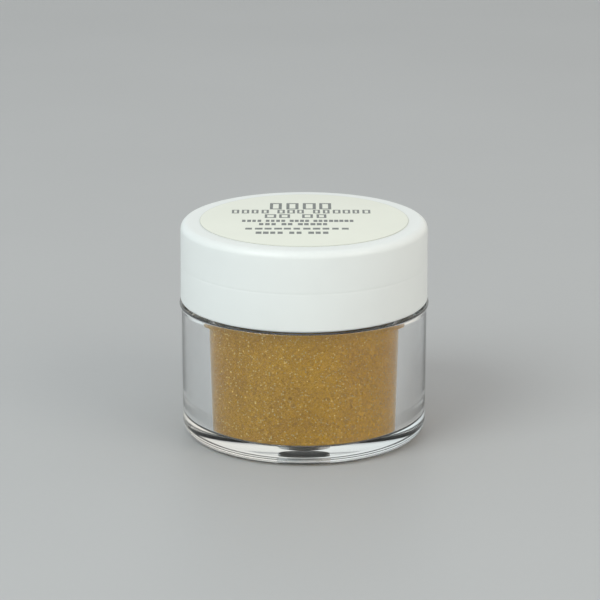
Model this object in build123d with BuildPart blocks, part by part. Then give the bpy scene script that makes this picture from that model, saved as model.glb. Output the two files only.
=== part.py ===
"""Small clear jar of fine powder with a white screw cap.

Five pieces: a one-piece thick-walled jar, its fill of powder, a foam sealing
liner, a smooth cap and a round label.  The cap runs on a single-start
right-hand thread.  Units are millimetres, +Z is up, and the origin is the
middle of the base, on the surface that the jar stands on.
"""

from build123d import *
import math
import os

# ---------------------------------------------------------------- jar, overall
jar_radius = 18.8            # outside of the straight wall
shoulder_height = 20.7       # base to the top of the shoulder
neck_height = 10.0           # shoulder to the sealing rim

# ---------------------------------------------------------------- jar, details
wall_thickness = 4.35        # radial, between the wall and the foot of the well
floor_thickness = 2.3
well_corner_radius = 0.5     # where the well's side meets its floor
heel_radius = 2.0            # outside, where the wall meets the base
foot_ring_width = 1.5        # flat land that the jar stands on
base_recess_depth = 0.35
base_recess_blend = 0.3
gate_mark_radius = 2.5       # well left by the moulding gate under the middle
gate_mark_depth = 1.3
shoulder_overhang = 0.28     # shoulder bead stands this far out of the wall
shoulder_band_height = 0.3
shoulder_flare_height = 0.7  # the wall flares out to the bead over this height
shoulder_blend = 0.2

# ------------------------------------------------------------------------ neck
well_draft = 0.65            # the well is this much wider at the rim, in radius
neck_wall = 0.9
rim_blend = 0.3

# ---------------------------------------------------------------------- thread
thread_pitch = 12.7 / 3      # six turns to the inch
thread_depth = 1.15
thread_root_width = 2.2
thread_flank_angle = 30.0    # each flank, from the normal to the axis
thread_end_margin = 2.4      # ridge centre line to the shoulder and to the rim
thread_start_angle = 200.0
thread_fade_length = 5.0     # each end of a ridge fades over this length
merge_bite = 0.2             # ridges and beads start this far inside their wall
cap_thread_width = 2.0
cap_thread_low_margin = 1.6  # cap's lower edge to its ridge's centre line
cap_thread_top_margin = 2.4  # liner bead to its ridge's centre line

# ------------------------------------------------------------------------- cap
cap_overhang = 0.1           # cap's lower edge, outside the jar's wall
cap_draft = 0.13             # the cap is this much smaller at the top, in radius
cap_top_thickness = 1.5
cap_top_radius = 1.2
cap_lower_edge_radius = 0.35
parting_line_height = 5.8    # above the cap's lower edge
parting_line_depth = 0.05
parting_line_width = 0.3
liner_bead_height = 0.5      # small ring that keeps the liner in the cap
liner_bead_depth = 0.5

# ------------------------------------------------------ liner, label and powder
liner_thickness = 1.0
label_inset = 1.695          # label's edge to where the cap's top edge starts to round
label_thickness = 0.1
powder_top_drop = 6.9        # rim to the top of the powder

# ----------------------------------------------------------------- clearances
skirt_gap = 0.3              # shoulder to the cap's lower edge, cap screwed home
thread_crown_gap = 0.25      # jar's ridge to the cap's inner wall
cap_thread_root_gap = 0.3    # cap's ridge to the neck
thread_flank_gap = 0.15      # between the two loaded flanks
liner_side_gap = 0.3
liner_bead_gap = 0.1
powder_gap = 0.06            # loose powder never quite touches the wall

# -------------------------------------------------------------- derived sizes
well_radius = jar_radius - wall_thickness
mouth_radius = well_radius + well_draft
neck_radius = mouth_radius + neck_wall
thread_radius = neck_radius + thread_depth
rim_z = shoulder_height + neck_height
recess_radius = jar_radius - heel_radius - foot_ring_width
shoulder_radius = jar_radius + shoulder_overhang
band_low_z = shoulder_height - shoulder_band_height

cap_radius = jar_radius + cap_overhang
cap_bore_radius = thread_radius + thread_crown_gap
cap_thread_radius = neck_radius + cap_thread_root_gap
cap_low_z = shoulder_height + skirt_gap
ceiling_z = rim_z + liner_thickness
cap_top_z = ceiling_z + cap_top_thickness
cap_flat_radius = cap_radius - cap_draft - cap_top_radius
label_radius = cap_flat_radius - label_inset

parting_z = cap_low_z + parting_line_height
parting_radius = cap_radius - cap_draft * parting_line_height / (cap_top_z - cap_low_z)
bead_top_z = rim_z - liner_bead_gap
bead_low_z = bead_top_z - liner_bead_height
bead_middle_z = (bead_top_z + bead_low_z) / 2
bead_root_radius = cap_bore_radius + merge_bite

liner_radius = cap_bore_radius - liner_side_gap
powder_top_z = rim_z - powder_top_drop
powder_depth_share = (powder_top_z - floor_thickness) / (rim_z - floor_thickness)
powder_top_radius = well_radius + well_draft * powder_depth_share - powder_gap

flank_slope = math.tan(math.radians(thread_flank_angle))
thread_low_z = shoulder_height + thread_end_margin
thread_rise = neck_height - 2 * thread_end_margin
# Height between the two ridges' centre lines when their loaded flanks nearly touch.
ridge_spacing = (
    (thread_root_width + cap_thread_width) / 2
    - (cap_bore_radius - neck_radius) * flank_slope
    + thread_flank_gap
)
cap_thread_low_z = cap_low_z + cap_thread_low_margin
cap_thread_rise = bead_low_z - cap_thread_top_margin - cap_thread_low_z
cap_thread_start_angle = thread_start_angle + 360 * (
    cap_thread_low_z + ridge_spacing - thread_low_z
) / thread_pitch


def polar(radius, angle):
    """A point in the XY plane, its angle in degrees."""
    return (
        radius * math.cos(math.radians(angle)),
        radius * math.sin(math.radians(angle)),
    )


def thread_ridge(root_radius, crest_radius, root_width, rise):
    """A right-hand helical ridge that stands on root_radius and fades at both ends.

    It stands out of a neck, or into a cap when crest_radius is the smaller.  Its
    centre line starts on the X axis at height 0 and climbs by rise.
    """
    outward = 1 if crest_radius > root_radius else -1
    depth = abs(crest_radius - root_radius)
    half_root = root_width / 2
    half_crest = half_root - depth * flank_slope
    half_bite = half_root + merge_bite * flank_slope
    bite_radius = root_radius - outward * merge_bite
    beyond_radius = crest_radius + outward * depth
    turn_angle = 360 * rise / thread_pitch
    fade_angle = math.degrees(thread_fade_length / crest_radius)
    with BuildPart() as ridge:
        with BuildLine() as path:
            Helix(thread_pitch, rise, root_radius)
        start = path.line.edge()
        section = Plane(
            origin=start.position_at(0), x_dir=(outward, 0, 0), z_dir=start.tangent_at(0)
        )
        with BuildSketch(section):
            with BuildLine():
                Polyline(
                    (-merge_bite, -half_bite),
                    (depth, -half_crest),
                    (depth, half_crest),
                    (-merge_bite, half_bite),
                    close=True,
                )
            make_face()
        sweep(path=path.line, is_frenet=True)
        # A sloping cut takes each end down to nothing over the fade length.
        for end_angle, end_z, inwards in ((0, 0, 1), (turn_angle, rise, -1)):
            full_angle = end_angle + inwards * fade_angle
            before_angle = end_angle - inwards * fade_angle
            with BuildSketch(Plane.XY.offset(end_z - thread_pitch / 2)):
                with BuildLine():
                    Polyline(
                        polar(bite_radius, end_angle),
                        polar(crest_radius, full_angle),
                        polar(beyond_radius, full_angle),
                        polar(beyond_radius, before_angle),
                        polar(bite_radius, before_angle),
                        close=True,
                    )
                make_face()
            extrude(amount=thread_pitch, mode=Mode.SUBTRACT)
    return ridge.part


# ------------------------------------------------------------------------ jar
jar_thread = thread_ridge(neck_radius, thread_radius, thread_root_width, thread_rise)

with BuildPart() as jar_body:
    # The outside: base, heel, straight wall, shoulder bead and neck.
    with BuildSketch(Plane.XZ) as outside:
        with BuildLine():
            Polyline(
                (0, 0),
                (jar_radius, 0),
                (jar_radius, band_low_z - shoulder_flare_height),
                (shoulder_radius, band_low_z),
                (shoulder_radius, shoulder_height),
                (neck_radius, shoulder_height),
                (neck_radius, rim_z),
                (0, rim_z),
                close=True,
            )
        make_face()
        fillet(outside.vertices().sort_by_distance((jar_radius, 0, 0))[0], heel_radius)
        bead_corners = outside.vertices().group_by(Axis.X)[-1]
        fillet(bead_corners, shoulder_blend)
    revolve(axis=Axis.Z)

    # The well that holds the powder widens evenly from its floor to the mouth.
    with BuildSketch(Plane.XZ) as well_profile:
        with BuildLine():
            Polyline(
                (0, floor_thickness),
                (well_radius, floor_thickness),
                (mouth_radius, rim_z),
                (0, rim_z),
                close=True,
            )
        make_face()
        well_corner = well_profile.vertices().sort_by_distance(
            (well_radius, floor_thickness, 0)
        )[0]
        fillet(well_corner, well_corner_radius)
    revolve(axis=Axis.Z, mode=Mode.SUBTRACT)
    rim_edges = jar_body.edges().filter_by(GeomType.CIRCLE).group_by(Axis.Z)[-1]
    fillet(rim_edges, rim_blend)

    # The underside: a shallow recess inside the foot ring, and the gate dimple.
    with BuildSketch(Plane.XY):
        Circle(recess_radius)
    extrude(amount=base_recess_depth, mode=Mode.SUBTRACT)
    recess_edge = jar_body.edges().filter_by(GeomType.CIRCLE).sort_by_distance(
        (recess_radius, 0, base_recess_depth)
    )[0]
    fillet(recess_edge, base_recess_blend)
    with BuildSketch(Plane.XY.offset(base_recess_depth)):
        Circle(gate_mark_radius)
    extrude(amount=gate_mark_depth, mode=Mode.SUBTRACT)

    with Locations(Location((0, 0, thread_low_z), (0, 0, thread_start_angle))):
        add(jar_thread)

# --------------------------------------------------------------------- powder
with BuildPart() as powder_fill:
    with BuildSketch(Plane.XZ) as powder_profile:
        with BuildLine():
            Polyline(
                (0, floor_thickness + powder_gap),
                (well_radius - powder_gap, floor_thickness + powder_gap),
                (powder_top_radius, powder_top_z),
                (0, powder_top_z),
                close=True,
            )
        make_face()
        powder_corner = powder_profile.vertices().sort_by_distance(
            (well_radius, floor_thickness, 0)
        )[0]
        fillet(powder_corner, well_corner_radius - powder_gap)
    revolve(axis=Axis.Z)

# ---------------------------------------------------------------------- liner
with BuildPart() as cap_liner:
    with BuildSketch(Plane.XY.offset(rim_z)):
        Circle(liner_radius)
    extrude(amount=liner_thickness)

# ------------------------------------------------------------------------ cap
cap_thread = thread_ridge(
    cap_bore_radius, cap_thread_radius, cap_thread_width, cap_thread_rise
)

with BuildPart() as screw_cap:
    with BuildSketch(Plane.XZ):
        with BuildLine():
            Polyline(
                (0, cap_low_z),
                (cap_radius, cap_low_z),
                (cap_radius - cap_draft, cap_top_z),
                (0, cap_top_z),
                close=True,
            )
        make_face()
    revolve(axis=Axis.Z)
    outer_edges = screw_cap.edges().filter_by(GeomType.CIRCLE).sort_by(Axis.Z)
    fillet(outer_edges[0], cap_lower_edge_radius)
    fillet(outer_edges[-1], cap_top_radius)

    # The hollow, with a blend no larger than the liner's side gap at its ceiling.
    with BuildSketch(Plane.XZ) as hollow_profile:
        with BuildLine():
            Polyline(
                (0, cap_low_z),
                (cap_bore_radius, cap_low_z),
                (cap_bore_radius, ceiling_z),
                (0, ceiling_z),
                close=True,
            )
        make_face()
        ceiling_corner = hollow_profile.vertices().sort_by_distance(
            (cap_bore_radius, ceiling_z, 0)
        )[0]
        fillet(ceiling_corner, liner_side_gap)
    revolve(axis=Axis.Z, mode=Mode.SUBTRACT)

    # A small rounded bead inside keeps the liner from dropping out.
    with BuildSketch(Plane.XZ):
        with BuildLine():
            Polyline(
                (cap_bore_radius, bead_low_z),
                (bead_root_radius, bead_low_z),
                (bead_root_radius, bead_top_z),
                (cap_bore_radius, bead_top_z),
            )
            ThreePointArc(
                (cap_bore_radius, bead_top_z),
                (cap_bore_radius - liner_bead_depth, bead_middle_z),
                (cap_bore_radius, bead_low_z),
            )
        make_face()
    revolve(axis=Axis.Z)

    # The fine parting line that the mould leaves round the skirt.
    with BuildSketch(Plane.XZ):
        with BuildLine():
            Polyline(
                (parting_radius - parting_line_depth, parting_z),
                (parting_radius + parting_line_depth, parting_z - parting_line_width),
                (parting_radius + parting_line_depth, parting_z + parting_line_width),
                close=True,
            )
        make_face()
    revolve(axis=Axis.Z, mode=Mode.SUBTRACT)

    with Locations(Location((0, 0, cap_thread_low_z), (0, 0, cap_thread_start_angle))):
        add(cap_thread)

# ---------------------------------------------------------------------- label
with BuildPart() as lid_label:
    with BuildSketch(Plane.XY.offset(cap_top_z)):
        Circle(label_radius)
    extrude(amount=label_thickness)

# --------------------------------------------------------------------- export
os.makedirs("parts", exist_ok=True)
pieces = {
    "jar_body": jar_body,
    "powder_fill": powder_fill,
    "cap_liner": cap_liner,
    "screw_cap": screw_cap,
    "lid_label": lid_label,
}
for name, piece in pieces.items():
    piece.part.label = name
    export_step(piece.part, f"parts/{name}.step")
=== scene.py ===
"""Looks of a small clear jar of fine gold powder, closed by a white screw cap.

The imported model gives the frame: its nodes, its bodies and where everything stands.
This file adds the finishes, and finer meshes for the pieces whose polish, thread or
grain has to show.  Lengths are in metres, +Z is up, and the jar stands on Z = 0.
"""

import math
import random

import bpy
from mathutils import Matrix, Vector, noise


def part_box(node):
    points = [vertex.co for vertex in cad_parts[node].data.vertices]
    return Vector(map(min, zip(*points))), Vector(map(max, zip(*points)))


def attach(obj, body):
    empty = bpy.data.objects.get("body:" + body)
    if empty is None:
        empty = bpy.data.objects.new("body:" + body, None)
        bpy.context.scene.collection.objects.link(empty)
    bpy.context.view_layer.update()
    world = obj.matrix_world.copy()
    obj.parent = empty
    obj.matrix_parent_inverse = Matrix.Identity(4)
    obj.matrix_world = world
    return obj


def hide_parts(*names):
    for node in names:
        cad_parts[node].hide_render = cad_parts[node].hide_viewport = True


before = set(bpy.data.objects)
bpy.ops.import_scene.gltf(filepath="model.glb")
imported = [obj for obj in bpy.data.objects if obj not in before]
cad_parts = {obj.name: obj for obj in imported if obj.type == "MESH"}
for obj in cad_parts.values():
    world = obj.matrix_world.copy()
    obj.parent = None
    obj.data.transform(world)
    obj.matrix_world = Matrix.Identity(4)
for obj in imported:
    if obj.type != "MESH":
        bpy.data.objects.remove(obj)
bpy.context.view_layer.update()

bl_info = {
    "name": "Clear Powder Jar",
    "version": (1, 0, 0),
    "blender": (4, 5, 0),
    "location": "View3D > Sidebar > Powder Jar",
    "description": "Builds the looks of a small clear jar of gold powder with a white screw cap",
    "category": "Add Mesh",
}

MM = 0.001

# Two lengths closer than this count as the same.
SAME = 0.001 * MM
# Height of the rows of faces that carry a screw ridge, on the neck and in the cap.
NECK_ROW = 0.16 * MM
CAP_ROW = 0.12 * MM

JAR_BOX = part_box("jar_body")
POWDER_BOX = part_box("powder_fill")
LINER_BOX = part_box("cap_liner")
CAP_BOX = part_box("screw_cap")
LABEL_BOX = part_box("lid_label")


# ------------------------------------------------------------------ what a user sets


class JarSizes(bpy.types.PropertyGroup):
    """Sizes of the clear jar."""

    wall_radius: bpy.props.FloatProperty(
        name="Wall radius",
        description="Outside of the straight wall",
        default=18.8 * MM,
        unit="LENGTH",
    )
    well_radius: bpy.props.FloatProperty(
        name="Well radius",
        description="Inside of the powder's well, at its floor",
        default=14.45 * MM,
        unit="LENGTH",
    )
    mouth_radius: bpy.props.FloatProperty(
        name="Mouth radius",
        description="Inside of the jar's mouth, at the rim",
        default=15.1 * MM,
        unit="LENGTH",
    )
    floor_height: bpy.props.FloatProperty(
        name="Well floor",
        description="Height of the well's floor above the table",
        default=2.3 * MM,
        unit="LENGTH",
    )
    shoulder_height: bpy.props.FloatProperty(
        name="Shoulder height",
        description="Height of the shoulder that the cap closes down to",
        default=20.7 * MM,
        unit="LENGTH",
    )
    heel_radius: bpy.props.FloatProperty(
        name="Heel radius",
        description="Rounding where the wall meets the base",
        default=2.0 * MM,
        unit="LENGTH",
    )
    neck_radius: bpy.props.FloatProperty(
        name="Neck radius",
        description="Outside of the neck, between the thread's turns",
        default=16.0 * MM,
        unit="LENGTH",
    )
    bead_height: bpy.props.FloatProperty(
        name="Bead height",
        description="Height of the upright edge of the bead round the shoulder",
        default=0.3 * MM,
        unit="LENGTH",
    )
    bead_flare: bpy.props.FloatProperty(
        name="Bead flare",
        description="Height over which the wall flares out to the bead",
        default=0.7 * MM,
        unit="LENGTH",
    )
    edge_rounding: bpy.props.FloatProperty(
        name="Edge rounding",
        description="Rounding of the bead and of the neck's foot",
        default=0.2 * MM,
        unit="LENGTH",
    )
    rim_rounding: bpy.props.FloatProperty(
        name="Rim rounding",
        description="Rounding of the two edges of the rim",
        default=0.3 * MM,
        unit="LENGTH",
    )
    well_rounding: bpy.props.FloatProperty(
        name="Well rounding",
        description="Rounding between the well's wall and its floor",
        default=0.5 * MM,
        unit="LENGTH",
    )
    foot_width: bpy.props.FloatProperty(
        name="Foot width",
        description="Width of the flat ring that the jar stands on",
        default=1.5 * MM,
        unit="LENGTH",
    )
    recess_depth: bpy.props.FloatProperty(
        name="Recess depth",
        description="Depth of the recess inside the foot ring",
        default=0.35 * MM,
        unit="LENGTH",
    )
    gate_radius: bpy.props.FloatProperty(
        name="Gate radius",
        description="Radius of the moulding gate's well, under the base",
        default=2.5 * MM,
        unit="LENGTH",
    )
    gate_depth: bpy.props.FloatProperty(
        name="Gate depth",
        description="Depth of the moulding gate's well",
        default=1.3 * MM,
        unit="LENGTH",
    )


class ThreadSizes(bpy.types.PropertyGroup):
    """Sizes of the screw thread that the neck and the cap share."""

    pitch: bpy.props.FloatProperty(
        name="Pitch",
        description="Rise in one turn",
        default=12.7 / 3 * MM,
        unit="LENGTH",
    )
    root_width: bpy.props.FloatProperty(
        name="Ridge width",
        description="Width of the neck's ridge where it stands on the neck",
        default=2.2 * MM,
        unit="LENGTH",
    )
    depth: bpy.props.FloatProperty(
        name="Ridge depth",
        description="How far the neck's ridge stands out",
        default=1.15 * MM,
        unit="LENGTH",
    )
    fade: bpy.props.FloatProperty(
        name="Fade length",
        description="Length over which each end of a ridge fades away",
        default=5.0 * MM,
        unit="LENGTH",
    )
    margin: bpy.props.FloatProperty(
        name="Margin",
        description="From the shoulder, and from the rim, to the ridge's middle line",
        default=2.4 * MM,
        unit="LENGTH",
    )
    play: bpy.props.FloatProperty(
        name="Play",
        description="Gap between the neck's ridge and the cap's bore",
        default=0.25 * MM,
        unit="LENGTH",
    )
    flank: bpy.props.FloatProperty(
        name="Flank angle",
        description="Slope of each side of a ridge",
        default=math.radians(30),
        subtype="ANGLE",
    )
    start: bpy.props.FloatProperty(
        name="Start angle",
        description="Where the neck's ridge starts, round the jar",
        default=math.radians(200),
        subtype="ANGLE",
    )


class CapSizes(bpy.types.PropertyGroup):
    """Sizes of the screw cap, beyond those that it takes from the jar and the thread."""

    overhang: bpy.props.FloatProperty(
        name="Overhang",
        description="How far the skirt's lower edge stands out past the jar's wall",
        default=0.1 * MM,
        unit="LENGTH",
    )
    draft: bpy.props.FloatProperty(
        name="Draft",
        description="How much the skirt narrows from its lower edge to the top",
        default=0.13 * MM,
        unit="LENGTH",
    )
    skirt_rounding: bpy.props.FloatProperty(
        name="Skirt rounding",
        description="Rounding of the skirt's lower edge",
        default=0.35 * MM,
        unit="LENGTH",
    )
    top_rounding: bpy.props.FloatProperty(
        name="Top rounding",
        description="Rounding of the edge of the flat top",
        default=1.2 * MM,
        unit="LENGTH",
    )
    line_height: bpy.props.FloatProperty(
        name="Line height",
        description="Height of the faint line above the skirt's lower edge",
        default=5.8 * MM,
        unit="LENGTH",
    )
    line_width: bpy.props.FloatProperty(
        name="Line width",
        description="Width of the faint line",
        default=0.5 * MM,
        unit="LENGTH",
    )
    line_depth: bpy.props.FloatProperty(
        name="Line depth",
        description="Depth of the faint line",
        default=0.025 * MM,
        unit="LENGTH",
    )
    bead_size: bpy.props.FloatProperty(
        name="Bead size",
        description="Height and depth of the bead that holds the liner",
        default=0.5 * MM,
        unit="LENGTH",
    )
    bead_drop: bpy.props.FloatProperty(
        name="Bead drop",
        description="From the jar's rim down to the top of the bead",
        default=0.1 * MM,
        unit="LENGTH",
    )
    ridge_width: bpy.props.FloatProperty(
        name="Ridge width",
        description="Width of the cap's ridge where it stands on the bore",
        default=2.0 * MM,
        unit="LENGTH",
    )
    ridge_gap: bpy.props.FloatProperty(
        name="Ridge gap",
        description="From the crest of the cap's ridge to the neck",
        default=0.3 * MM,
        unit="LENGTH",
    )
    ridge_play: bpy.props.FloatProperty(
        name="Ridge play",
        description="Gap between the flanks of the two ridges",
        default=0.15 * MM,
        unit="LENGTH",
    )
    ridge_lift: bpy.props.FloatProperty(
        name="Ridge lift",
        description="From the skirt's lower edge to the start of the ridge",
        default=1.6 * MM,
        unit="LENGTH",
    )


class PowderLook(bpy.types.PropertyGroup):
    """Colours of the gold powder."""

    body_colour: bpy.props.FloatVectorProperty(
        name="Body colour",
        description="Colour of most of the grains",
        default=(0.93, 0.53, 0.012),
        subtype="COLOR",
    )
    shade_colour: bpy.props.FloatVectorProperty(
        name="Shade colour",
        description="Colour of the grains that lie in each other's shade",
        default=(0.68, 0.338, 0.006),
        subtype="COLOR",
    )
    fleck_colour: bpy.props.FloatVectorProperty(
        name="Fleck colour",
        description="Colour of the bright metallic flecks",
        default=(1.0, 0.80, 0.32),
        subtype="COLOR",
    )


class CapLook(bpy.types.PropertyGroup):
    """Colours of the cap, its liner and its label."""

    cap_colour: bpy.props.FloatVectorProperty(
        name="Cap colour",
        description="White of the moulded cap",
        default=(0.84, 0.865, 0.85),
        subtype="COLOR",
    )
    liner_colour: bpy.props.FloatVectorProperty(
        name="Liner colour",
        description="White of the foam liner",
        default=(0.72, 0.71, 0.67),
        subtype="COLOR",
    )
    label_colour: bpy.props.FloatVectorProperty(
        name="Label colour",
        description="Cream of the label's face",
        default=(0.88, 0.895, 0.80),
        subtype="COLOR",
    )
    print_colour: bpy.props.FloatVectorProperty(
        name="Print colour",
        description="Grey of the printed marks",
        default=(0.16, 0.17, 0.165),
        subtype="COLOR",
    )


class StageLook(bpy.types.PropertyGroup):
    """The floor, the light and the camera."""

    floor_colour: bpy.props.FloatVectorProperty(
        name="Floor colour",
        description="Colour of the plain floor",
        default=(0.52, 0.525, 0.53),
        subtype="COLOR",
    )
    camera_height: bpy.props.FloatProperty(
        name="Camera elevation",
        description="Angle of the camera above the table",
        default=math.radians(17.2),
        subtype="ANGLE",
    )
    camera_distance: bpy.props.FloatProperty(
        name="Camera distance",
        description="From the camera to the jar",
        default=360 * MM,
        unit="LENGTH",
    )
    lens: bpy.props.FloatProperty(
        name="Lens",
        description="Focal length in millimetres on a 36 mm sensor",
        default=140.1,
    )


# ---------------------------------------------------------------- shader expressions


class Wire:
    """A shader socket that can stand in an ordinary sum."""

    def __init__(self, shader, socket):
        self.shader = shader
        self.socket = socket

    def maths(self, operation, *values):
        settings = {"operation": operation}
        return self.shader.node("ShaderNodeMath", settings, dict(enumerate(values)))

    def __add__(self, other):
        return self.maths("ADD", self, other)

    def __radd__(self, other):
        return self.maths("ADD", other, self)

    def __sub__(self, other):
        return self.maths("SUBTRACT", self, other)

    def __rsub__(self, other):
        return self.maths("SUBTRACT", other, self)

    def __mul__(self, other):
        return self.maths("MULTIPLY", self, other)

    def __rmul__(self, other):
        return self.maths("MULTIPLY", other, self)

    def __gt__(self, other):
        return self.maths("GREATER_THAN", self, other)

    def __lt__(self, other):
        return self.maths("LESS_THAN", self, other)

    def ramp(self, low, high):
        """0 at low and 1 at high, smooth between, for a wire that holds a number."""
        settings = {"interpolation_type": "SMOOTHSTEP"}
        inputs = {"Value": self, "From Min": low, "From Max": high}
        return self.shader.node("ShaderNodeMapRange", settings, inputs)


class Shader:
    """One material, or one world, and its nodes."""

    def __init__(self, name, kept_in=None):
        shelf = bpy.data.materials if kept_in is None else kept_in
        self.material = shelf.new(name)
        self.material.use_nodes = True
        self.tree = self.material.node_tree
        self.tree.nodes.clear()

    def node(self, kind, settings=None, inputs=None, output=0):
        """Adds a node, sets it up, feeds its sockets and returns one of its outputs."""
        made = self.tree.nodes.new(kind)
        for key, value in (settings or {}).items():
            setattr(made, key, value)
        for key, value in (inputs or {}).items():
            if isinstance(value, Wire):
                self.tree.links.new(value.socket, made.inputs[key])
            else:
                made.inputs[key].default_value = value
        return Wire(self, made.outputs[output]) if made.outputs else None

    def place(self):
        """Where a point of the piece is, in metres, in the piece's own frame."""
        return self.node("ShaderNodeTexCoord", output="Object")

    def noise(self, scale, detail=2.0, roughness=0.5, place=None):
        """Cloudy noise from 0 to 1, as fine as scale says, in lumps to a metre."""
        inputs = {
            "Vector": place or self.place(),
            "Scale": scale,
            "Detail": detail,
            "Roughness": roughness,
        }
        return self.node("ShaderNodeTexNoise", None, inputs, "Fac")

    def cells(self, scale, output="Distance"):
        """Cells like packed crumbs, as many to a metre as scale says."""
        inputs = {"Vector": self.place(), "Scale": scale}
        return self.node("ShaderNodeTexVoronoi", None, inputs, output)

    def vector(self, operation, *values, scale=None, output="Vector"):
        """The result of one step of vector maths."""
        inputs = dict(enumerate(values))
        if scale is not None:
            inputs["Scale"] = scale
        settings = {"operation": operation}
        return self.node("ShaderNodeVectorMath", settings, inputs, output)

    def stretched(self, x, y, z):
        """The place, scaled by its own factor along each axis."""
        return self.vector("MULTIPLY", self.place(), (x, y, z))

    def height(self):
        """How far up the piece's own frame a point is."""
        return self.node("ShaderNodeSeparateXYZ", None, {0: self.place()}, "Z")

    def from_axis(self):
        """How far a point is from the jar's axis."""
        return self.vector("LENGTH", self.stretched(1, 1, 0), output="Value")

    def mix(self, factor, first, second):
        """A colour from first to second as factor goes from 0 to 1."""
        settings = {"data_type": "RGBA"}
        inputs = {0: factor, 6: opaque(first), 7: opaque(second)}
        return self.node("ShaderNodeMix", settings, inputs, 2)

    def bump(self, height, distance, strength=1.0, normal=None):
        """A normal that leans as if the surface rose and fell with height."""
        inputs = {"Height": height, "Distance": distance, "Strength": strength}
        if normal is not None:
            inputs["Normal"] = normal
        return self.node("ShaderNodeBump", None, inputs)

    def principled(self, inputs):
        """Ends the material in one Principled shader and returns the material."""
        surface = self.node("ShaderNodeBsdfPrincipled", None, inputs)
        self.node("ShaderNodeOutputMaterial", None, {"Surface": surface})
        return self.material


def opaque(colour):
    """A colour with its alpha, or a wire as it is."""
    return colour if isinstance(colour, Wire) else (*colour[:3], 1.0)


def toned(colour, factor):
    """A colour made lighter or darker, and never past white."""
    return tuple(min(1.0, part * factor) for part in colour)


# ----------------------------------------------------------------- meshes made from profiles


def rounded(corners, steps=6):
    """A profile through corners of (radius, height, rounding), each one rounded off."""
    points = []
    for i, (r, z, rounding) in enumerate(corners):
        here = Vector((r, z))
        if rounding == 0 or i in (0, len(corners) - 1):
            points.append(here)
            continue
        to_last = Vector(corners[i - 1][:2]) - here
        to_next = Vector(corners[i + 1][:2]) - here
        half = to_last.angle(to_next) / 2
        reach = rounding / math.tan(half)
        start = here + to_last.normalized() * reach
        end = here + to_next.normalized() * reach
        middle_way = (to_last.normalized() + to_next.normalized()).normalized()
        centre = here + middle_way * (rounding / math.sin(half))
        sweep = (start - centre).angle_signed(end - centre)
        count = max(2, round(steps * abs(sweep) / (math.pi / 2)))
        arm = start - centre
        for k in range(count + 1):
            # The sweep is measured clockwise, and the arm turns the other way.
            turn = -sweep * k / count
            x = arm.x * math.cos(turn) - arm.y * math.sin(turn)
            y = arm.x * math.sin(turn) + arm.y * math.cos(turn)
            points.append(centre + Vector((x, y)))
    return [(p.x, p.y) for p in points]


def with_rows(profile, low, high, step):
    """The profile with its upright runs between two heights cut into short rows."""
    points = [profile[0]]
    for (r0, z0), (r1, z1) in zip(profile, profile[1:]):
        upright = abs(r1 - r0) < SAME and min(z0, z1) < high and max(z0, z1) > low
        count = max(1, math.ceil(abs(z1 - z0) / step)) if upright else 1
        points += [
            (r0 + (r1 - r0) * k / count, z0 + (z1 - z0) * k / count)
            for k in range(1, count + 1)
        ]
    return points


def lathe(name, profile, shift=None, segments=384):
    """A closed solid turned from a profile that starts and ends on the axis.

    shift(angle, radius, height) gives each point its own radius and height.
    """
    rings = profile[1:-1]
    verts = [(0, 0, profile[0][1])]
    for radius, height in rings:
        for k in range(segments):
            angle = 2 * math.pi * k / segments
            r, z = shift(angle, radius, height) if shift else (radius, height)
            verts.append((r * math.cos(angle), r * math.sin(angle), z))
    verts.append((0, 0, profile[-1][1]))
    last = len(verts) - 1
    faces = []
    for k in range(segments):
        after = (k + 1) % segments
        faces.append((0, 1 + after, 1 + k))
        for i in range(len(rings) - 1):
            low, high = 1 + i * segments, 1 + (i + 1) * segments
            faces.append((low + k, low + after, high + after, high + k))
        top = 1 + (len(rings) - 1) * segments
        faces.append((top + k, top + after, last))
    return mesh_piece(name, verts, faces)


def mesh_piece(name, verts, faces):
    """A smooth mesh that keeps its sharp edges."""
    mesh = bpy.data.meshes.new(name)
    mesh.from_pydata(verts, [], faces)
    mesh.update()
    mesh.shade_smooth()
    mesh.set_sharp_from_angle(angle=math.radians(40))
    piece = bpy.data.objects.new(name, mesh)
    bpy.context.scene.collection.objects.link(piece)
    return piece


def mark_parts(box, stroke):
    """The boxes that make one printed mark: a filled block, or a hollow one."""
    left, right, front, back = box
    if not stroke:
        return [box]
    return [
        (left, left + stroke, front, back),
        (right - stroke, right, front, back),
        (left + stroke, right - stroke, front, front + stroke),
        (left + stroke, right - stroke, back - stroke, back),
    ]


def add_slab(verts, faces, box, low, top):
    """Adds a thin closed slab over a box of (left, right, front, back)."""
    left, right, front, back = box
    first = len(verts)
    for z in (low, top):
        verts += [(left, front, z), (right, front, z), (right, back, z), (left, back, z)]
    sides = [(k, (k + 1) % 4, (k + 1) % 4 + 4, k + 4) for k in range(4)]
    for face in [(3, 2, 1, 0), (4, 5, 6, 7), *sides]:
        faces.append(tuple(first + k for k in face))


class Ridge:
    """A screw ridge that winds up a round wall and fades away at both its ends."""

    def __init__(self, thread, radius, start, low, rise, half_width, flank_width):
        self.pitch = thread.pitch
        self.fade = thread.fade
        self.radius = radius
        self.start = start
        self.low = low
        self.rise = rise
        self.half_width = half_width
        self.flank_width = flank_width

    def share(self, angle, height):
        """How far the ridge stands out at a point, from 0 to 1 of its depth."""
        turn = (angle - self.start) / (2 * math.pi)
        along = turn + round((height - self.low) / self.pitch - turn)
        turns = self.rise / self.pitch
        if along < 0 or along > turns:
            return 0.0
        off = abs(height - self.low - along * self.pitch)
        across = min(1.0, max(0.0, (self.half_width - off) / self.flank_width))
        from_end = min(along, turns - along) * 2 * math.pi * self.radius
        return across * across * (3 - 2 * across) * min(1.0, from_end / self.fade)


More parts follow.
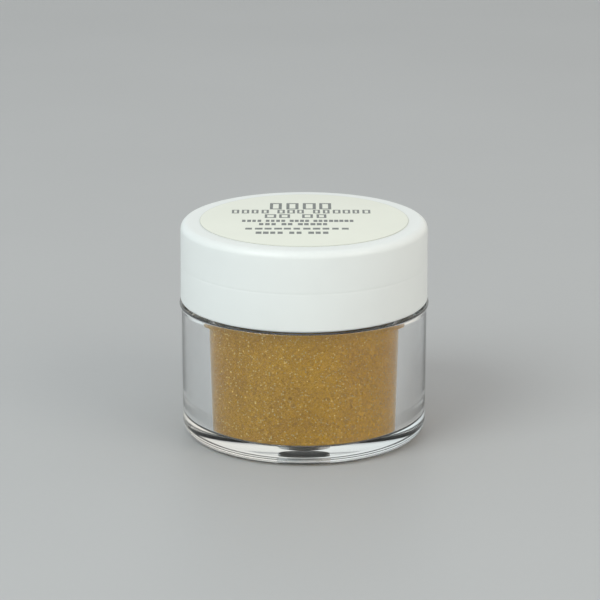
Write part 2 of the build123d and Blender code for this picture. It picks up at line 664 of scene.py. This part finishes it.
def dress(piece, material):
    """Gives a piece its one material."""
    piece.data.materials.clear()
    piece.data.materials.append(material)


def make(piece, body, material, node):
    """Puts a made piece on its body, in place of the CAD node that it stands for."""
    dress(piece, material)
    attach(piece, body)
    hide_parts(node)


# -------------------------------------------------------------------------- finishes


def clear_styrene(jar):
    """Polished clear plastic with the faint scuffs of a handled jar."""
    shader = Shader("clear_styrene")
    scuffs = shader.noise(900, 6, 0.6).ramp(0.52, 0.75)
    streaks = shader.noise(1, 3, 0.6, shader.stretched(260, 260, 2600)).ramp(0.55, 0.8)
    flow = shader.noise(90, 2, 0.4)
    # The moulding gate's well, in the middle of the underside, is left frosted.
    beside_gate = jar.gate_radius + 0.3 * MM
    above_gate = jar.recess_depth + jar.gate_depth + 0.25 * MM
    gate = (shader.from_axis() < beside_gate) * (shader.height() < above_gate)
    return shader.principled(
        {
            "Base Color": (0.985, 0.992, 0.988, 1.0),
            "Transmission Weight": 1.0,
            "IOR": 1.59,
            "Specular IOR Level": 0.2,
            "Roughness": 0.004 + scuffs * 0.01 + streaks * 0.012 + gate * 0.4,
            "Normal": shader.bump(flow, 0.01 * MM, 0.4),
        }
    )


def gold_powder(look):
    """Fine metallic powder: brown-gold grains, and flecks that catch the light."""
    shader = Shader("gold_powder")
    grain = shader.noise(5200, 3, 0.7).ramp(0.35, 0.68)
    drift = shader.noise(110, 3, 0.55).ramp(0.32, 0.66)
    body = shader.mix(grain * 0.62 + drift * 0.38, look.shade_colour, look.body_colour)

    # Each cell is one flake, and its random colour says if it shines and how it leans.
    flake = 4300
    middle = shader.cells(flake).ramp(0.3, 0.46)
    chance = shader.cells(flake, output="Color")
    shine = shader.node("ShaderNodeSeparateColor", None, {0: chance})
    flecks = (shine > 0.86) * (1 - middle)
    lean = shader.vector("SUBTRACT", chance, (0.5, 0.5, 0.5))
    lean = shader.vector("SCALE", lean, scale=0.65)
    upright = shader.node("ShaderNodeNewGeometry", output="Normal")
    facet = shader.vector("NORMALIZE", shader.vector("ADD", upright, lean))

    relief = grain + shader.noise(1400, 2) * 1.5
    return shader.principled(
        {
            "Base Color": shader.mix(flecks, body, look.fleck_colour),
            "Metallic": 0.8 + flecks * 0.2,
            "Roughness": 0.55 - flecks * 0.32,
            "Specular IOR Level": 0.15,
            "Specular Tint": opaque(look.fleck_colour),
            "Normal": shader.bump(relief, 0.012 * MM, 0.6, facet),
        }
    )


def white_polypropylene(look):
    """Smooth moulded plastic with a soft gloss."""
    shader = Shader("white_polypropylene")
    shade = shader.noise(70, 3, 0.5).ramp(0.3, 0.7)
    whiter = toned(look.cap_colour, 1.03)
    pebble = shader.noise(1700, 3, 0.55)
    scuffs = shader.noise(1, 4, 0.6, shader.stretched(500, 500, 2200)).ramp(0.55, 0.8)
    return shader.principled(
        {
            "Base Color": shader.mix(shade, look.cap_colour, whiter),
            "Roughness": 0.34 + pebble * 0.08 + scuffs * 0.08,
            "IOR": 1.49,
            "Subsurface Weight": 0.25,
            "Subsurface Radius": (1.0, 1.0, 1.0),
            "Subsurface Scale": 0.8 * MM,
            "Normal": shader.bump(pebble, 0.01 * MM, 0.5),
        }
    )


def white_foam(look):
    """Closed-cell foam sheet with fine bubbles."""
    shader = Shader("white_foam")
    bubbles = shader.cells(4200)
    tone = shader.noise(400, 3, 0.6).ramp(0.3, 0.7)
    darker = toned(look.liner_colour, 0.9)
    return shader.principled(
        {
            "Base Color": shader.mix(tone, darker, look.liner_colour),
            "Roughness": 0.7 + bubbles * 0.2,
            "Normal": shader.bump(bubbles, 0.05 * MM, 0.7),
        }
    )


def label_paper(look):
    """Smooth cream label stock, with a painted shadow line: a thin darker ring round its edge.
    """
    shader = Shader("label_paper")
    fibres = shader.noise(1, 4, 0.6, shader.stretched(2600, 700, 2600))
    tone = shader.noise(160, 3, 0.5).ramp(0.3, 0.7)
    darker = toned(look.label_colour, 0.965)
    face = shader.mix(tone * 0.5 + fibres * 0.5, darker, look.label_colour)
    # Painted shadow: the cream turns to a darker tone in a thin ring just inside the label's
    # edge, standing in for the shadow line there.
    radius = LABEL_BOX[1].x
    rim = shader.from_axis().ramp(radius - 0.14 * MM, radius - 0.04 * MM)
    edge = toned(look.label_colour, 0.72)
    return shader.principled(
        {
            "Base Color": shader.mix(rim, face, edge),
            "Roughness": 0.42 + fibres * 0.16,
            "Normal": shader.bump(fibres, 0.006 * MM, 0.6),
        }
    )


def grey_ink(look):
    """Matt grey ink that lies unevenly on the paper."""
    shader = Shader("grey_ink")
    patchy = shader.noise(3000, 3, 0.6).ramp(0.35, 0.65)
    faded = toned(look.print_colour, 1.7)
    return shader.principled(
        {
            "Base Color": shader.mix(patchy, look.print_colour, faded),
            "Roughness": 0.5 + patchy * 0.2,
            "Normal": shader.bump(patchy, 0.004 * MM, 0.5),
        }
    )


def plain_floor(look):
    """Pale board, a little uneven in tone."""
    shader = Shader("plain_floor")
    tone = shader.noise(6, 4, 0.55).ramp(0.3, 0.7)
    darker = toned(look.floor_colour, 0.96)
    grain = shader.noise(900, 3, 0.6)
    return shader.principled(
        {
            "Base Color": shader.mix(tone, darker, look.floor_colour),
            "Roughness": 0.45 + grain * 0.12,
            "Normal": shader.bump(grain, 0.03 * MM, 0.35),
        }
    )


def soft_room():
    """Even light from a pale room: bright walls, a dimmer ceiling, a warmer right side."""
    room = Shader("soft_room", bpy.data.worlds)
    cool, warm = (0.86, 0.95, 0.97), (0.96, 0.92, 0.84)
    ceiling = (0.44, 0.45, 0.46)
    way = room.node("ShaderNodeTexCoord", output="Generated")
    right = room.node("ShaderNodeSeparateXYZ", None, {0: way}, "X")
    up = room.node("ShaderNodeSeparateXYZ", None, {0: way}, "Z")
    walls = room.mix(right.ramp(-1.0, 1.0), cool, warm)
    light = room.mix(up.ramp(0.15, 0.8), walls, ceiling)
    shade = room.node("ShaderNodeBackground", None, {"Color": light, "Strength": 1.0})
    room.node("ShaderNodeOutputWorld", None, {"Surface": shade})
    return room.material


# ------------------------------------------------------------------------- operators


class JAR_OT_clear_jar(bpy.types.Operator):
    """Turns the clear jar: thick wall, heel, base recess, shoulder and threaded neck"""

    bl_idname = "powder_jar.clear_jar"
    bl_label = "Clear Jar"

    def execute(self, context):
        jar = context.scene.jar_sizes
        thread = context.scene.thread_sizes
        rim = JAR_BOX[1].z
        bead_radius = JAR_BOX[1].x
        bead_low = jar.shoulder_height - jar.bead_height
        recess_radius = jar.wall_radius - jar.heel_radius - jar.foot_width
        gate_top = jar.recess_depth + jar.gate_depth
        soft = jar.edge_rounding
        profile = rounded(
            [
                (0, gate_top, 0),
                (jar.gate_radius, gate_top, 0.12 * MM),
                (jar.gate_radius, jar.recess_depth, 0.12 * MM),
                (recess_radius, jar.recess_depth, 0.25 * MM),
                (recess_radius, 0, 0.08 * MM),
                (jar.wall_radius, 0, jar.heel_radius),
                (jar.wall_radius, bead_low - jar.bead_flare, soft),
                (bead_radius, bead_low, soft),
                (bead_radius, jar.shoulder_height, soft),
                (jar.neck_radius, jar.shoulder_height, soft),
                (jar.neck_radius, rim, jar.rim_rounding),
                (jar.mouth_radius, rim, jar.rim_rounding),
                (jar.well_radius, jar.floor_height, jar.well_rounding),
                (0, jar.floor_height, 0),
            ],
            steps=12,
        )
        ridge = Ridge(
            thread,
            radius=jar.neck_radius,
            start=thread.start,
            low=jar.shoulder_height + thread.margin,
            rise=rim - jar.shoulder_height - 2 * thread.margin,
            half_width=thread.root_width / 2,
            flank_width=thread.depth * math.tan(thread.flank),
        )

        def shift(angle, radius, height):
            if abs(radius - jar.neck_radius) > SAME or height < jar.shoulder_height:
                return radius, height
            return radius + thread.depth * ridge.share(angle, height), height

        profile = with_rows(profile, jar.shoulder_height, rim, NECK_ROW)
        piece = lathe("jar", profile, shift)
        make(piece, "jar", clear_styrene(jar), "jar_body")
        return {"FINISHED"}


class JAR_OT_gold_powder(bpy.types.Operator):
    """Fills the jar with gold powder, level in the neck but for shallow dips"""

    bl_idname = "powder_jar.gold_powder"
    bl_label = "Gold Powder"

    def execute(self, context):
        jar = context.scene.jar_sizes
        low, top = POWDER_BOX[0].z, POWDER_BOX[1].z
        gap = low - jar.floor_height
        mouth = POWDER_BOX[1].x
        corners = [
            (0, low, 0),
            (jar.well_radius - gap, low, jar.well_rounding - gap),
            (mouth, top, 0),
            (0, top, 0),
        ]
        profile = rounded(corners, steps=10)
        top_rings = [(mouth * k / 90, top) for k in range(89, 0, -1)]
        profile = profile[:-1] + top_rings + [profile[-1]]

        def shift(angle, radius, height):
            """Lowers the top by a mean depth and a tilt, less the swells and crumbs."""
            if height < top - SAME:
                return radius, height
            x, y = radius * math.cos(angle), radius * math.sin(angle)
            swell = noise.noise(Vector((x, y, 0)) * 130) * 0.45 * MM
            crumbs = noise.noise(Vector((x, y, 7)) * 900) * 0.14 * MM
            tilt = x / mouth * 0.25 * MM
            dip = 0.85 * MM + tilt - swell - crumbs
            return radius, top - max(0.02 * MM, dip)

        piece = lathe("powder", profile, shift)
        material = gold_powder(context.scene.powder_look)
        make(piece, "jar", material, "powder_fill")
        return {"FINISHED"}


class JAR_OT_foam_liner(bpy.types.Operator):
    """Cuts the foam liner, with the ring that the jar's rim has pressed into it"""

    bl_idname = "powder_jar.foam_liner"
    bl_label = "Foam Liner"

    def execute(self, context):
        jar = context.scene.jar_sizes
        radius = LINER_BOX[1].x
        low, top = LINER_BOX[0].z, LINER_BOX[1].z
        # The rim presses a ring into the foam, which swells past it on both sides.
        inner_swell = 0.07 * MM
        outer_swell = inner_swell / 2
        slant = 0.3 * MM
        outside = jar.neck_radius + 0.1 * MM
        corners = [
            (0, low - inner_swell, 0),
            (jar.mouth_radius - 0.2 * MM - slant, low - inner_swell, 0.5 * MM),
            (jar.mouth_radius, low, slant),
            (outside, low, 0.2 * MM),
            (outside + slant, low - outer_swell, slant),
            (radius, low - outer_swell, 0.12 * MM),
            (radius, top, 0.08 * MM),
            (0, top, 0),
        ]
        piece = lathe("liner", rounded(corners), segments=256)
        material = white_foam(context.scene.cap_look)
        make(piece, "liner", material, "cap_liner")
        return {"FINISHED"}


class JAR_OT_screw_cap(bpy.types.Operator):
    """Turns the white cap: drafted skirt, rounded top, thread and liner bead"""

    bl_idname = "powder_jar.screw_cap"
    bl_label = "Screw Cap"

    def execute(self, context):
        jar = context.scene.jar_sizes
        thread = context.scene.thread_sizes
        cap = context.scene.cap_sizes
        low, top = CAP_BOX[0].z, CAP_BOX[1].z
        outer = jar.wall_radius + cap.overhang
        bore = jar.neck_radius + thread.depth + thread.play
        ceiling = LINER_BOX[1].z
        bead_top = LINER_BOX[0].z - cap.bead_drop
        bead_low = bead_top - cap.bead_size
        bead_middle = (bead_top + bead_low) / 2
        line = low + cap.line_height
        line_radius = outer - cap.draft * (line - low) / (top - low)
        beside_line = cap.line_width / 2
        profile = rounded(
            [
                (0, ceiling, 0),
                (bore, ceiling, 0.3 * MM),
                (bore, bead_top, 0.05 * MM),
                (bore - cap.bead_size, bead_middle, 0.2 * MM),
                (bore, bead_low, 0.05 * MM),
                (bore, low, 0.2 * MM),
                (outer, low, cap.skirt_rounding),
                (line_radius, line - beside_line, 0.2 * MM),
                (line_radius - cap.line_depth, line, 0.1 * MM),
                (line_radius, line + beside_line, 0.2 * MM),
                (outer - cap.draft, top, cap.top_rounding),
                (0, top, 0),
            ],
            steps=14,
        )

        # The cap's ridge runs in the groove over the neck's ridge, a little way off it.
        slope = math.tan(thread.flank)
        depth = bore - jar.neck_radius - cap.ridge_gap
        ridge_low = low + cap.ridge_lift
        spacing = (thread.root_width + cap.ridge_width) / 2
        spacing += cap.ridge_play - (bore - jar.neck_radius) * slope
        rise_from_neck_ridge = ridge_low + spacing - jar.shoulder_height - thread.margin
        ridge = Ridge(
            thread,
            radius=bore,
            start=thread.start + 2 * math.pi * rise_from_neck_ridge / thread.pitch,
            low=ridge_low,
            rise=bead_low - thread.margin - ridge_low,
            half_width=cap.ridge_width / 2,
            flank_width=depth * slope,
        )

        def shift(angle, radius, height):
            if abs(radius - bore) > SAME or height > bead_low:
                return radius, height
            return radius - depth * ridge.share(angle, height), height

        profile = with_rows(profile, low, bead_low, CAP_ROW)
        piece = lathe("cap", profile, shift)
        material = white_polypropylene(context.scene.cap_look)
        make(piece, "cap", material, "screw_cap")
        return {"FINISHED"}


# Lines of print on the label, in millimetres: how far behind the middle the line lies,
# how tall its marks are, its left and right ends, the line width of its hollow marks
# (0 for filled ones) and the marks in each of its words.
PRINT_LINES = (
    (8.1, 3.9, -5.3, 4.9, 0.48, (4,)),
    (4.7, 2.2, -11.1, 10.5, 0.34, (4, 3, 6)),
    (1.9, 2.2, -6.0, 4.1, 0.38, (2, 2)),
    (-1.0, 1.3, -9.4, 7.7, 0, (4, 4, 4, 8)),
    (-3.0, 1.3, -6.8, 3.8, 0, (3, 2, 5)),
    (-5.7, 1.0, -8.8, 7.1, 0, (11,)),
    (-8.1, 1.3, -7.2, 3.9, 0, (4, 2, 3)),
)

# The gap between two words, in marks, and the share of its place that a mark fills.
WORD_GAP = 0.6
MARK_SHARE = (0.66, 0.8)


class JAR_OT_lid_label(bpy.types.Operator):
    """Sticks the round label on the cap and prints rows of plain marks on it"""

    bl_idname = "powder_jar.lid_label"
    bl_label = "Lid Label"

    def execute(self, context):
        look = context.scene.cap_look
        radius = LABEL_BOX[1].x
        low, top = LABEL_BOX[0].z, LABEL_BOX[1].z
        ink = 0.008 * MM
        face = top - ink
        corners = [
            (0, low, 0),
            (radius, low, 0.02 * MM),
            (radius, face, 0.04 * MM),
            (0, face, 0),
        ]
        piece = lathe("label", rounded(corners, steps=4), segments=256)
        make(piece, "cap", label_paper(look), "lid_label")

        rng = random.Random(11)
        verts, faces = [], []
        for behind, tall, left, right, stroke, words in PRINT_LINES:
            marks = sum(words) + WORD_GAP * (len(words) - 1)
            pitch = (right - left) / marks
            x = left
            for count in words:
                for _ in range(count):
                    width = pitch * rng.uniform(*MARK_SHARE)
                    box = (x, x + width, behind - tall / 2, behind + tall / 2)
                    for part in mark_parts(box, stroke):
                        add_slab(verts, faces, [v * MM for v in part], face, top)
                    x += pitch
                x += pitch * WORD_GAP
        print_piece = mesh_piece("label_print", verts, faces)
        dress(print_piece, grey_ink(look))
        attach(print_piece, "cap")
        return {"FINISHED"}


class JAR_OT_studio_stage(bpy.types.Operator):
    """Makes the plain floor, the soft light and the camera"""

    bl_idname = "powder_jar.studio_stage"
    bl_label = "Studio Stage"

    def execute(self, context):
        scene = context.scene
        look = scene.stage_look
        # A hair below the foot ring, so that the two faces don't lie in one plane.
        low = -0.02 * MM
        corners = [(-3, -3, low), (3, -3, low), (3, 3, low), (-3, 3, low)]
        floor = mesh_piece("floor", corners, [(0, 1, 2, 3)])
        dress(floor, plain_floor(look))

        scene.world = soft_room()
        scene.view_settings.view_transform = "Standard"

        self.add_light("key", (-0.42, -0.42, 0.6), 2.8, (0.93, 1.0, 0.99))
        self.add_light("fill", (0.55, -0.45, 0.5), 1.4, (1.0, 0.96, 0.87))

        data = bpy.data.cameras.new("camera")
        data.lens = look.lens
        data.sensor_width = 36
        data.clip_start = 10 * MM
        middle = Vector((0, 0, 15 * MM))
        back = Vector((0, -math.cos(look.camera_height), math.sin(look.camera_height)))
        place = middle + back * look.camera_distance
        aim = Vector((-0.62 * MM, 0, 20.5 * MM))
        scene.camera = self.add_aimed("camera", data, place, aim)
        return {"FINISHED"}

    def add_light(self, name, place, power, colour):
        """A broad round light that shines on the jar."""
        data = bpy.data.lights.new(name, "AREA")
        data.shape = "DISK"
        data.size = 0.5
        data.energy = power
        data.color = colour
        self.add_aimed(name, data, Vector(place), Vector())

    @staticmethod
    def add_aimed(name, data, place, aim):
        """A light or a camera at a place, turned to look at another."""
        made = bpy.data.objects.new(name, data)
        made.location = place
        made.rotation_euler = (aim - place).to_track_quat("-Z", "Y").to_euler()
        bpy.context.scene.collection.objects.link(made)
        return made


class JAR_PT_panel(bpy.types.Panel):
    """Lists every step of the jar and the values that shape it."""

    bl_idname = "JAR_PT_panel"
    bl_label = "Powder Jar"
    bl_space_type = "VIEW_3D"
    bl_region_type = "UI"
    bl_category = "Powder Jar"

    def draw(self, context):
        for operator in OPERATORS:
            self.layout.operator(operator.bl_idname)
        for name in SETTINGS:
            box = self.layout.box()
            group = getattr(context.scene, name)
            for key in group.__annotations__:
                box.prop(group, key)


SETTINGS = {
    "jar_sizes": JarSizes,
    "thread_sizes": ThreadSizes,
    "cap_sizes": CapSizes,
    "powder_look": PowderLook,
    "cap_look": CapLook,
    "stage_look": StageLook,
}

OPERATORS = (
    JAR_OT_clear_jar,
    JAR_OT_gold_powder,
    JAR_OT_foam_liner,
    JAR_OT_screw_cap,
    JAR_OT_lid_label,
    JAR_OT_studio_stage,
)


def register():
    for group in SETTINGS.values():
        bpy.utils.register_class(group)
    for name, group in SETTINGS.items():
        setattr(bpy.types.Scene, name, bpy.props.PointerProperty(type=group))
    for operator in OPERATORS:
        bpy.utils.register_class(operator)
    bpy.utils.register_class(JAR_PT_panel)


def unregister():
    bpy.utils.unregister_class(JAR_PT_panel)
    for operator in reversed(OPERATORS):
        bpy.utils.unregister_class(operator)
    for name in SETTINGS:
        delattr(bpy.types.Scene, name)
    for group in SETTINGS.values():
        bpy.utils.unregister_class(group)


def main():
    register()
    bpy.ops.powder_jar.clear_jar()
    bpy.ops.powder_jar.gold_powder()
    bpy.ops.powder_jar.foam_liner()
    bpy.ops.powder_jar.screw_cap()
    bpy.ops.powder_jar.lid_label()
    bpy.ops.powder_jar.studio_stage()


if __name__ == "__main__":
    main()
